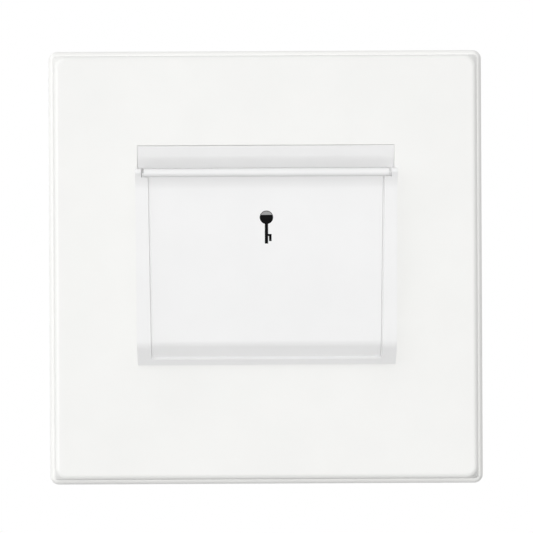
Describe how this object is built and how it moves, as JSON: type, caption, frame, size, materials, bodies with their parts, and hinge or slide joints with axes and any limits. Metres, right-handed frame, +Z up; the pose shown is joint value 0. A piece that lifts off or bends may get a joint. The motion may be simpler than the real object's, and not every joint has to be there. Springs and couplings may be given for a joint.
{
  "type": "hotel key card switch",
  "caption": "Square flush wall switch with a wedge-shaped key card pocket, a scooped card mouth and a spring-loaded lever behind it that presses a contact plunger.",
  "frame": {"origin": "middle of the square cover plate on the wall plane, which is the back of the steel frame", "axes": "+X to the right and +Z up as seen from the room; +Y into the wall, so the front faces -Y"},
  "size_m": [0.098, 0.0425, 0.098],
  "materials": {
    "plate_white": "satin moulded thermoplastic",
    "pocket_white": "satin moulded thermoplastic, slightly cooler white",
    "lever_grey": "moulded grey acetal",
    "plunger_cream": "moulded natural nylon",
    "module_black": "moulded black thermoset",
    "frame_steel": "pressed zinc-plated sheet steel",
    "screw_steel": "zinc-plated turned steel",
    "spring_steel": "drawn spring wire",
    "contact_brass": "stamped and machined brass",
    "tip_silver": "silver contact faces"
  },
  "bodies": {
    "housing": {"cover_plate": "plate_white", "pocket_back": "pocket_white", "pocket_hood": "pocket_white", "front_panel": "pocket_white", "pocket_screws": "screw_steel", "lever_pin": "screw_steel", "lever_spring": "spring_steel", "mounting_frame": "frame_steel", "frame_rivets": "screw_steel", "switch_lid": "module_black", "switch_base": "module_black", "return_spring": "spring_steel", "fixed_contact_left": "contact_brass", "fixed_contact_right": "contact_brass", "fixed_tips": "tip_silver", "terminal_left": "contact_brass", "terminal_right": "contact_brass", "terminal_screws": "screw_steel"},
    "lever": {"card_lever": "lever_grey"},
    "plunger": {"plunger": "plunger_cream", "contact_bridge": "contact_brass", "bridge_tips": "tip_silver"}
  },
  "joints": [
    {"name": "lever_swing", "type": "hinge", "parent": "housing", "child": "lever", "pos_m": [0, -0.0036, 0.01], "axis": [1, 0, 0], "range_deg": [0, 9.5], "stiffness_Nm_per_rad": 0.05, "springref_deg": -22.92, "deforming": ["lever_spring"]},
    {"name": "plunger_slide", "type": "slide", "parent": "housing", "child": "plunger", "axis": [0, 1, 0], "range_m": [0, 0.003], "deforming": ["return_spring"]}
  ],
  "couplings": [
    {"joint": "plunger_slide", "follows": "lever_swing", "m_per_rad": 0.01808}
  ]
}
